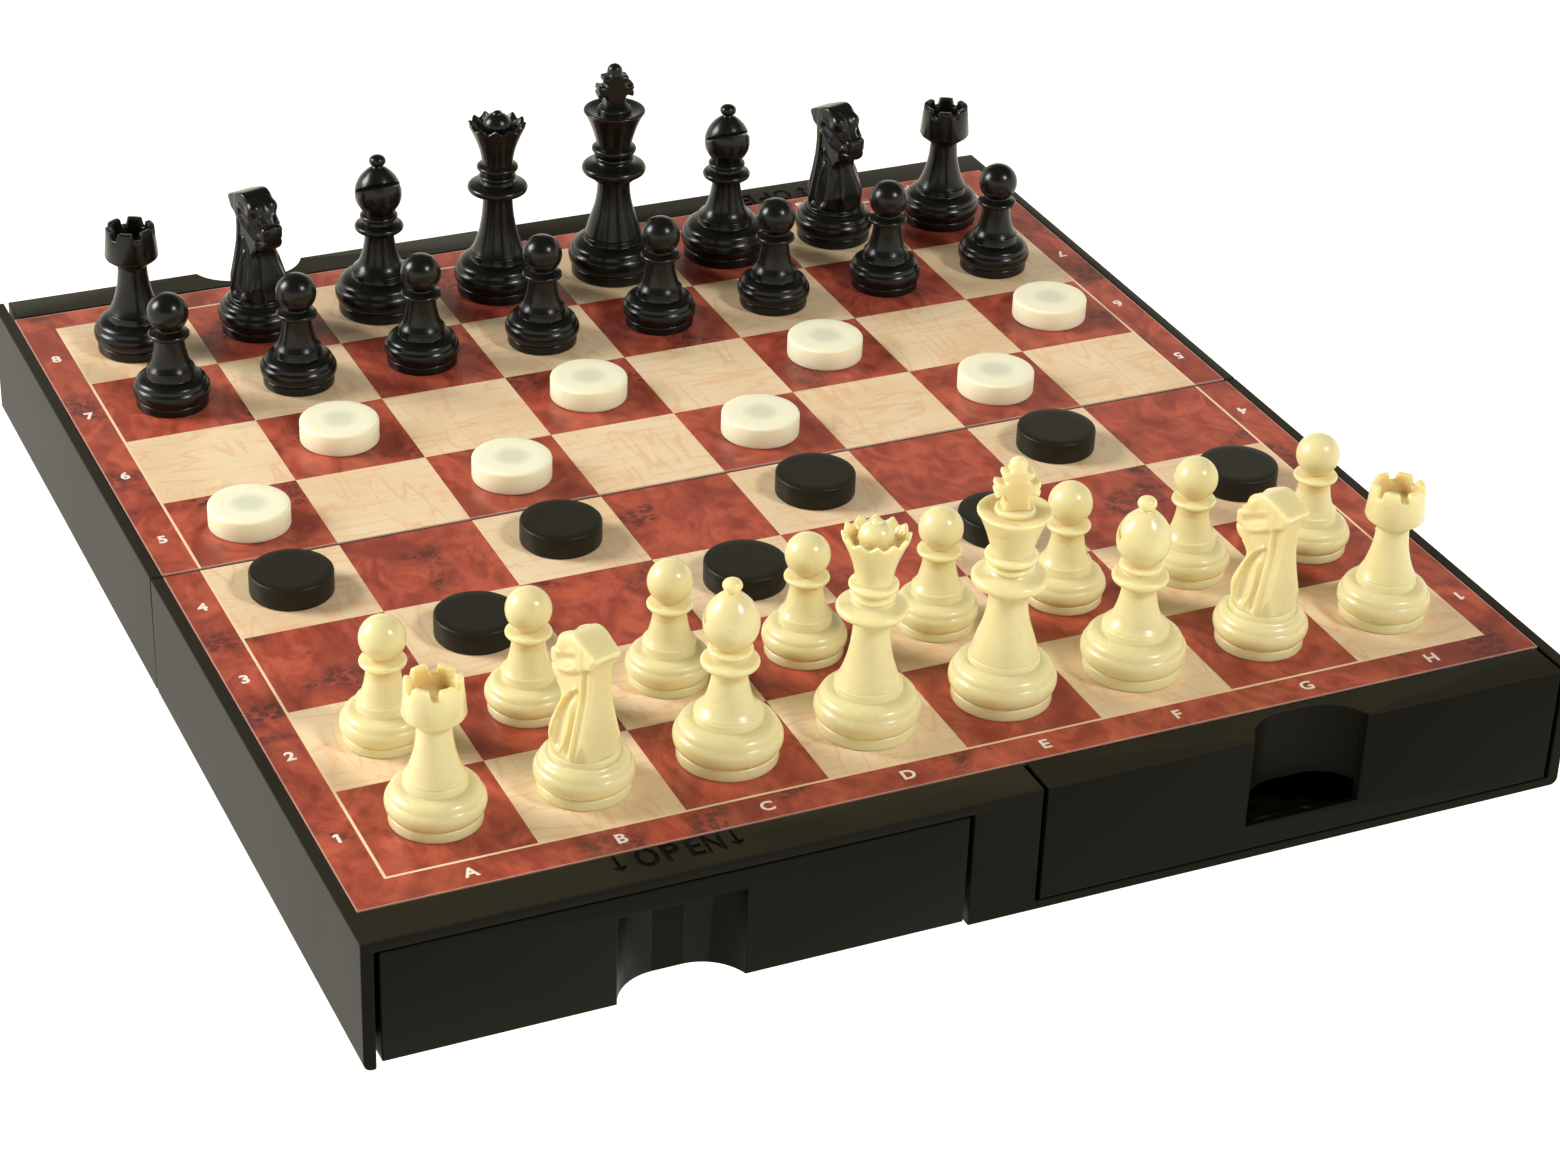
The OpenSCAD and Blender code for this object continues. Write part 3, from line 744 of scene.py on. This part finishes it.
def skin(field, low, high, step):
    """Closed mesh on the zero level of field(x, y, z), in millimetres, by surface nets."""
    low = np.array(low, float)
    counts = [int(math.ceil((h - l) / step)) + 1 for l, h in zip(low, high)]
    grids = np.meshgrid(*[low[i] + step * np.arange(counts[i]) for i in range(3)], indexing="ij")
    value = field(*grids)
    total = np.zeros(counts + [3])
    hits = np.zeros(counts)
    quads = []
    for axis in range(3):
        here = np.take(value, range(counts[axis] - 1), axis)
        there = np.take(value, range(1, counts[axis]), axis)
        cells = np.argwhere((here < 0) != (there < 0))
        a, b = here[tuple(cells.T)], there[tuple(cells.T)]
        point = cells.astype(float)
        point[:, axis] += a / (a - b)
        u, v = (axis + 1) % 3, (axis + 2) % 3
        around = []
        for du, dv in ((-1, -1), (0, -1), (0, 0), (-1, 0)):
            cell = cells.copy()
            cell[:, u] += du
            cell[:, v] += dv
            np.add.at(total, tuple(cell.T), point)
            np.add.at(hits, tuple(cell.T), 1)
            around.append(np.ravel_multi_index(tuple(cell.T), counts))
        quad = np.stack(around, 1)
        quad[a > 0] = quad[a > 0][:, ::-1]
        quads.append(quad)
    quads = np.concatenate(quads)
    used = np.flatnonzero(hits.ravel())
    order = np.full(hits.size, -1)
    order[used] = np.arange(len(used))
    points = total.reshape(-1, 3)[used] / hits.ravel()[used, None] * step + low
    mesh = bpy.data.meshes.new("skin")
    mesh.from_pydata(points.tolist(), [], order[quads].tolist())
    return mesh


def line_distance(u, v, line):
    """Distance from points to an open line through corners."""
    best = np.full(u.shape, 1e9)
    for (x0, y0), (x1, y1) in zip(line, line[1:]):
        ex, ey = x1 - x0, y1 - y0
        t = np.clip(((u - x0) * ex + (v - y0) * ey) / (ex * ex + ey * ey), 0, 1)
        best = np.minimum(best, np.hypot(u - x0 - ex * t, v - y0 - ey * t))
    return best


def outline_distance(u, v, outline):
    """Signed distance from points to a closed outline, negative inside."""
    inside = np.zeros(u.shape, bool)
    closed = [*outline, outline[0]]
    for (x0, y0), (x1, y1) in zip(closed, closed[1:]):
        inside ^= ((y0 > v) != (y1 > v)) & (u < (x1 - x0) * (v - y0) / (y1 - y0 + 1e-12) + x0)
    best = line_distance(u, v, closed)
    return np.where(inside, -best, best)


def round_and(a, b, radius):
    """Distance to what two shapes share, with the edge between them rounded."""
    corner = np.hypot(np.maximum(a + radius, 0), np.maximum(b + radius, 0))
    return np.minimum(np.maximum(a, b), -radius) + corner


def soft_or(a, b, radius):
    """Distance to two shapes melted together."""
    h = np.clip(0.5 + 0.5 * (b - a) / radius, 0, 1)
    return b + (a - b) * h - radius * h * (1 - h)


def welded(mesh, other):
    """One solid of two that overlap."""
    base = add_object(mesh.name, mesh)
    combine(base, add_object(other.name, other), "UNION")
    made = base.data
    bpy.data.objects.remove(base)
    return made


half_cross = [(3.4, 50.3), (3.2, 51.6), (2.7, 53.4), (3.2, 54.7), (5.0, 54.1), (5.3, 55.4), (4.9, 56.0),
              (5.3, 56.7), (5.0, 57.9), (3.2, 57.5), (2.6, 58.3), (3.8, 59.2), (3.6, 60.3), (2.0, 60.5),
              (1.4, 61.4)]
cross_outline = half_cross + [(-x, z) for x, z in reversed(half_cross)]
king_cross = skin(
    lambda x, y, z: soft_or(round_and(outline_distance(x, z, cross_outline), np.abs(y) - 2.3, 0.8),
                            np.sqrt(x * x + y * y + (z - 61.55) ** 2) - 2.15, 0.3),
    (-6, -3, 49.9), (6, 3, 64.4), 0.22)
king_profile = (base_profile(12.8, 0.66, 0.953)
                + curve_through([(8.05, 12.45), (7.6, 14.0), (6.9, 16.4), (6.05, 19.0), (5.4, 21.2),
                                 (4.85, 24.2), (4.65, 27.2), (4.75, 28.8)])
                + [(5.9, 29.2), (6.25, 30.0), (6.3, 30.6), (7.7, 30.9)]
                + arc(7.75, 32.3, 1.35, -75, 80, 9)
                + [(6.7, 33.9), (5.5, 34.3), (5.1, 34.9)] + arc(5.0, 35.7, 0.68, -70, 70, 6)
                + [(4.8, 36.6), (4.9, 37.2)] + arc(5.5, 38.2, 0.82, -80, 80, 8) + [(5.0, 39.2)]
                + curve_through([(4.9, 39.3), (5.3, 41.2), (6.2, 44.2), (7.3, 47.0), (8.4, 49.3)])
                + arc(8.2, 49.7, 0.5, -20, 90, 5) + [(6.9, 49.95), (5.4, 49.7), (4.75, 49.7)]
                + arc(4.2, 50.4, 0.5, 0, 90, 4) + [(0, 50.9)])
king = welded(as_mesh(lathe(king_profile), "king"), king_cross)
line_up("king", king, (4,), 0, (math.radians(-16), math.radians(-6)), recess_strength=0.6)

# ---- Knights ----
# The horse's head is carved in relief from one block: a flat poll, a straight
# mane, a square muzzle, and long hollows down the neck. The heads are turned a
# little to one side.
horse_side = (curve_through([(-7.0, 10.2), (-6.5, 14), (-6.25, 20), (-6.2, 27), (-6.5, 33),
                             (-7.4, 35.8)], 3)
              + [(-8.4, 37.3), (-8.3, 38.2)]
              + curve_through([(-3.0, 40.5), (-0.6, 41.1), (1.5, 40.5), (3.7, 39.0), (5.4, 37.0),
                               (6.6, 34.9), (7.6, 33.6)], 4)
              + curve_through([(8.5, 33.0), (9.0, 31.4), (8.9, 28.8), (8.2, 27.1), (6.6, 26.3),
                               (5.3, 25.7), (4.7, 24.4), (5.0, 22.4), (6.0, 19.8), (7.0, 17.2),
                               (7.5, 14.2), (7.3, 10.2)], 4))
jaw_line = ((-9.4, -6, -3, 0, 3.2, 5.0, 6.2, 9.7), (36.0, 34.6, 32.8, 31.0, 29.6, 28.2, 25, 25))
# carved lines on the side of the block, each with its course, height and width:
# three raised edges down the neck, and two hollows between them
neck_lines = (([(-1.4, 27.6), (0.4, 26.2), (1.9, 24.2), (3.4, 21.1), (4.3, 17.0), (4.5, 12.4)], 0.6, 0.42),
              ([(-0.4, 23.6), (-1.0, 20.4), (-1.2, 17.0), (-0.8, 14.0), (0.2, 11.8)], 0.5, 0.40),
              ([(-3.6, 35.5), (-3.4, 25), (-3.3, 18), (-3.5, 11.8)], 0.5, 0.38),
              ([(-0.4, 25.6), (1.1, 22.6), (1.7, 18.6), (1.8, 13.0)], -0.85, 1.15),
              ([(-2.2, 27.0), (-2.3, 20), (-2.2, 12.0)], -0.55, 0.6))
# the cheek falls away under its upper ridge, and the mouth is a shallow line
face_lines = (([(-1.2, 35.4), (2.6, 33.6), (5.6, 31.6)], -0.7, 0.9),
              ([(-2.2, 33.6), (0.6, 31.6), (4.2, 30.2), (5.6, 29.4)], 0.35, 0.45),
              ([(6.0, 29.2), (9.6, 29.6)], -0.4, 0.4))


def smooth_step(value, low, high):
    t = np.clip((value - low) / (high - low), 0, 1)
    return t * t * (3 - 2 * t)


def ball(x, y, z, middle, radius):
    """Distance to a pair of balls, one on each side of the head."""
    return np.sqrt((x - middle[0]) ** 2 + (np.abs(y) - middle[1]) ** 2 + (z - middle[2]) ** 2) - radius


def bar(x, y, z, start, end, radius):
    """Distance to a pair of round-ended bars, one on each side of the head."""
    p = np.stack([x - start[0], np.abs(y) - start[1], z - start[2]])
    along_bar = np.subtract(end, start)
    t = np.clip(np.tensordot(along_bar, p, 1) / along_bar.dot(along_bar), 0, 1)
    away = np.sqrt(((p - along_bar[:, None, None, None] * t) ** 2).sum(0))
    return away - radius * (0.75 + 0.6 * t * (1 - t))


def horse(x, y, z):
    """Distance to the horse; w is half the block's width at each point."""
    # under a line from the back of the poll to the jaw the neck is narrower than the head
    over = smooth_step(z - np.interp(x, *jaw_line), -0.7, 0.5)
    neck = np.interp(z, [10.2, 13, 17, 21, 25, 29, 36], [6.9, 6.5, 5.6, 4.7, 3.9, 3.5, 3.4])
    head = np.interp(x, [-9.5, -6, -2, 2, 5, 7.5, 9.7], [3.9, 4.2, 4.3, 4.1, 3.5, 3.0, 2.9])
    w = neck + (head - neck) * over
    for points, height, width in neck_lines:
        w = w + height * (1 - over) * np.exp(-(line_distance(x, z, points) / width) ** 2)
    # the mane behind is a little thinner
    w = w - 0.5 * smooth_step(-x, 3.9, 4.6) * (1 - 0.7 * over)
    for points, height, width in face_lines:
        w = w + height * np.exp(-(line_distance(x, z, points) / width) ** 2)
    # chest and forehead are round, the poll and the back have crisp edges
    chest = smooth_step(x, 1.0, 5.0) * (1 - smooth_step(z, 23, 26))
    forehead = smooth_step(x, 0.5, 4.5) * smooth_step(z, 32, 35)
    rounding = 0.8 + 2.7 * chest + 0.8 * forehead
    body = round_and(outline_distance(x, z, horse_side), np.abs(y) - w, rounding)
    for piece, melt in ((bar(x, y, z, (-1.8, 3.9, 37.6), (6.6, 2.9, 33.3), 0.75), 0.5),
                        (bar(x, y, z, (3.2, 2.7, 37.6), (7.4, 2.0, 34.1), 0.7), 0.5),
                        (ball(x, y, z, (3.3, 2.5, 37.2), 2.1), 0.9),
                        (ball(x, y, z, (2.3, 2.3, 39.2), 1.0), 0.4),
                        (ball(x, y, z, (8.1, 2.1, 32.4), 0.95), 0.4),
                        (ball(x, y, z, (4.9, 2.5, 27.9), 1.0), 0.6),
                        (ball(x, y, z, (6.6, 2.0, 27.0), 0.9), 0.6)):
        body = soft_or(body, piece, melt)
    # the block stands inside the round ring of the foot
    return np.maximum(body, np.hypot(x, y) - np.interp(z, [10, 13, 18, 30, 44], [7.8, 7.9, 8.4, 12, 14]))


horse_head = skin(horse, (-11, -8, 9.6), (11, 8, 42), 0.27)
knight = welded(as_mesh(lathe(base_profile(11.5, 0.70, 0.94) + [(0, 10.85)]), "knight"), horse_head)
line_up("knight", knight, (1, 6), 0, (math.radians(105), math.radians(-75)), 60, 0.22)

# ---- Draughtsmen ----
# Flat discs with eased edges. The magnet shows through the ivory ones as a grey
# spot; the black ones are matt, with fine rings from the mould.
disc_tree = bpy.data.node_groups.new("draughtsman", "GeometryNodeTree")
disc_tree.interface.new_socket("Geometry", in_out="OUTPUT", socket_type="NodeSocketGeometry")
disc_inputs = {}
for label, kind, default in (("Diameter", "Float", 0.0208), ("Thickness", "Float", 0.006),
                             ("Edge", "Float", 0.0006), ("Middle", "Vector", None),
                             ("Plastic", "Material", None), ("Magnet", "Material", None)):
    socket = disc_tree.interface.new_socket(label, in_out="INPUT", socket_type="NodeSocket" + kind)
    if default is not None:
        socket.default_value = default
    disc_inputs[label] = socket.identifier


def geo(kind, settings=None, inputs=None, output=0):
    """Adds a Geometry Nodes node; an input is a plain value or another node's output."""
    node = disc_tree.nodes.new(kind)
    for key, value in (settings or {}).items():
        setattr(node, key, value)
    for key, value in (inputs or {}).items():
        if isinstance(value, bpy.types.NodeSocket):
            disc_tree.links.new(value, node.inputs[key])
        else:
            node.inputs[key].default_value = value
    return node.outputs[output]


def number(operation, *values):
    return geo("ShaderNodeMath", {"operation": operation}, dict(enumerate(values)))


def by_station(index, values):
    """Picks the value of the station on the turned section that a point belongs to."""
    node = disc_tree.nodes.new("GeometryNodeIndexSwitch")
    node.data_type = "FLOAT"
    while len(node.index_switch_items) < len(values):
        node.index_switch_items.new()
    disc_tree.links.new(index, node.inputs[0])
    for socket, value in zip(node.inputs[1:], values):
        if isinstance(value, bpy.types.NodeSocket):
            disc_tree.links.new(value, socket)
        else:
            socket.default_value = value
    return node.outputs[0]


given = {s.name: s for s in disc_tree.nodes.new("NodeGroupInput").outputs}
flat = number("SUBTRACT", number("DIVIDE", given["Diameter"], 2.0), given["Edge"])
# stations of the section: the bore, the foot, the rounded rim, the top and its middle
radii, levels = [0.0, 0.0041, 0.0041, 0.0044], [0.00265, 0.00265, 0.0003, 0.0]
for upper in (False, True):
    for degrees in (0, 30, 60, 90)[::-1 if upper else 1]:
        lean = math.radians(degrees)
        radii.append(number("MULTIPLY_ADD", given["Edge"], math.sin(lean), flat))
        rise = number("MULTIPLY", given["Edge"], 1 - math.cos(lean))
        levels.append(number("SUBTRACT", given["Thickness"], rise) if upper else rise)
for share in (0.8, 0.5, 0.2, 0.0):
    radii.append(number("MULTIPLY", flat, share))
    levels.append(given["Thickness"])
# a unit grid is rolled up: its X runs round the axis, its Y along the section
sectors = 60
grid = geo("GeometryNodeMeshGrid", {}, {"Size X": 1.0, "Size Y": 1.0, "Vertices X": sectors + 1,
                                        "Vertices Y": len(radii)})
corner = geo("ShaderNodeSeparateXYZ", {}, {0: geo("GeometryNodeInputPosition")}).node.outputs
angle = number("MULTIPLY", number("ADD", corner["X"], 0.5), 2 * math.pi)
station = geo("FunctionNodeFloatToInt", {"rounding_mode": "ROUND"},
              {0: number("MULTIPLY", number("ADD", corner["Y"], 0.5), float(len(radii) - 1))})
out_r = by_station(station, radii)
bent = geo("ShaderNodeCombineXYZ", {}, {"X": number("MULTIPLY", out_r, number("COSINE", angle)),
                                        "Y": number("MULTIPLY", out_r, number("SINE", angle)),
                                        "Z": by_station(station, levels)})
disc = geo("GeometryNodeSetPosition", {}, {"Geometry": grid, "Position": bent})
disc = geo("GeometryNodeMergeByDistance", {}, {"Geometry": disc, "Distance": 1e-6})
slug = geo("GeometryNodeMeshCylinder", {}, {"Vertices": 40, "Radius": 0.0039, "Depth": 0.0023})
slug = geo("GeometryNodeTransform", {}, {"Geometry": slug, "Translation": (0, 0, 0.00136)})
slug = geo("GeometryNodeStoreNamedAttribute", {"data_type": "FLOAT", "domain": "FACE"},
           {"Geometry": slug, "Name": "is_magnet", "Value": 1.0})
both = disc_tree.nodes.new("GeometryNodeJoinGeometry")
disc_tree.links.new(slug, both.inputs[0])
disc_tree.links.new(disc, both.inputs[0])
flatness = geo("ShaderNodeVectorMath", {"operation": "MULTIPLY"},
               {0: geo("GeometryNodeInputPosition"), 1: (1, 1, 0)})
from_axis = geo("ShaderNodeVectorMath", {"operation": "LENGTH"}, {0: flatness}, output=1)
marked = geo("GeometryNodeStoreNamedAttribute", {"data_type": "FLOAT", "domain": "POINT"},
             {"Geometry": both.outputs[0], "Name": "from_axis", "Value": from_axis})
spot = geo("GeometryNodePoints", {}, {"Count": 1, "Position": given["Middle"]})
placed = geo("GeometryNodeInstanceOnPoints", {}, {"Points": spot, "Instance": marked})
real = geo("GeometryNodeRealizeInstances", {}, {0: placed})
coated = geo("GeometryNodeSetMaterial", {}, {"Geometry": real, "Material": given["Plastic"]})
is_magnet = geo("GeometryNodeInputNamedAttribute", {"data_type": "FLOAT"}, {"Name": "is_magnet"})
coated = geo("GeometryNodeSetMaterial", {}, {
    "Geometry": coated, "Material": given["Magnet"],
    "Selection": geo("FunctionNodeCompare", {"operation": "GREATER_THAN"}, {0: is_magnet, 1: 0.5})})
disc_tree.links.new(coated, disc_tree.nodes.new("NodeGroupOutput").inputs[0])

ivory_disc, shader, place = principled(
    "ivory_disc", (0.88, 0.84, 0.61), 0.4, Subsurface_Weight=0.5, Subsurface_Scale=0.003,
    Subsurface_Radius=(1.0, 0.7, 0.35), Specular_IOR_Level=0.35)
reach = place.add("Attribute", {"attribute_name": "from_axis"}, output="Fac")
# the magnet shows through on the top only
top_face = place.axis("Z") > (board_z + 4.7) / 1000
hidden_magnet = ramp(reach + noise(place, 300, 2) * 0.0012, 0.0028, 0.0066, 1.0, 0.0) * top_face
ivory = blend(noise(place, 90, 2), (0.87, 0.83, 0.60), (0.89, 0.85, 0.63))
feed(shader,
     Base_Color=blend(hidden_magnet * 0.42, ivory, (0.42, 0.46, 0.34)),
     Roughness=ramp(noise(place, 260, 3), 0.3, 0.7, 0.34, 0.46))
black_disc, shader, place = principled("black_disc", (0.012, 0.011, 0.006), 0.4, Specular_IOR_Level=0.2)
reach = place.add("Attribute", {"attribute_name": "from_axis"}, output="Fac")
phase = reach * 3600.0 + noise(place, 90, 1) * 4
tool_marks = phase.math("SINE", phase)
feed(shader,
     Base_Color=blend(ramp(tool_marks, -1.0, 1.0), (0.0115, 0.0105, 0.0055), (0.0125, 0.0115, 0.0065)),
     Roughness=ramp(tool_marks + noise(place, 300, 2), -1.0, 2.0, 0.38, 0.43),
     Normal=bump(noise(place, 900, 3), 0.08, 0.00004))

carrier = add_object("disc_carrier", bpy.data.meshes.new("disc_carrier"))
maker = carrier.modifiers.new("draughtsman", "NODES")
maker.node_group = disc_tree
for color, plastic, slot in (("white", ivory_disc, "ivory_plastic"),
                             ("black", black_disc, "matte_black_plastic")):
    for i in range(8):
        row_in, pair = divmod(i, 4)
        file = 2 * pair + row_in
        rank = 4 + row_in if color == "white" else 3 - row_in
        name = f"{color}_draught_{'abcdefgh'[file]}{rank + 1}"
        maker[disc_inputs["Middle"]] = ((file - 3.5) * square, (rank - 3.5) * square, board_z / 1000)
        maker[disc_inputs["Plastic"]] = plastic
        maker[disc_inputs["Magnet"]] = magnet_steel
        carrier.update_tag()
        bpy.context.view_layer.update()
        mesh = result_of(carrier)
        mesh.name = name + "_man"
        finish_piece(add_object(name + "_man", mesh), None, name, name, 40)
bpy.data.objects.remove(carrier)

low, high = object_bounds()
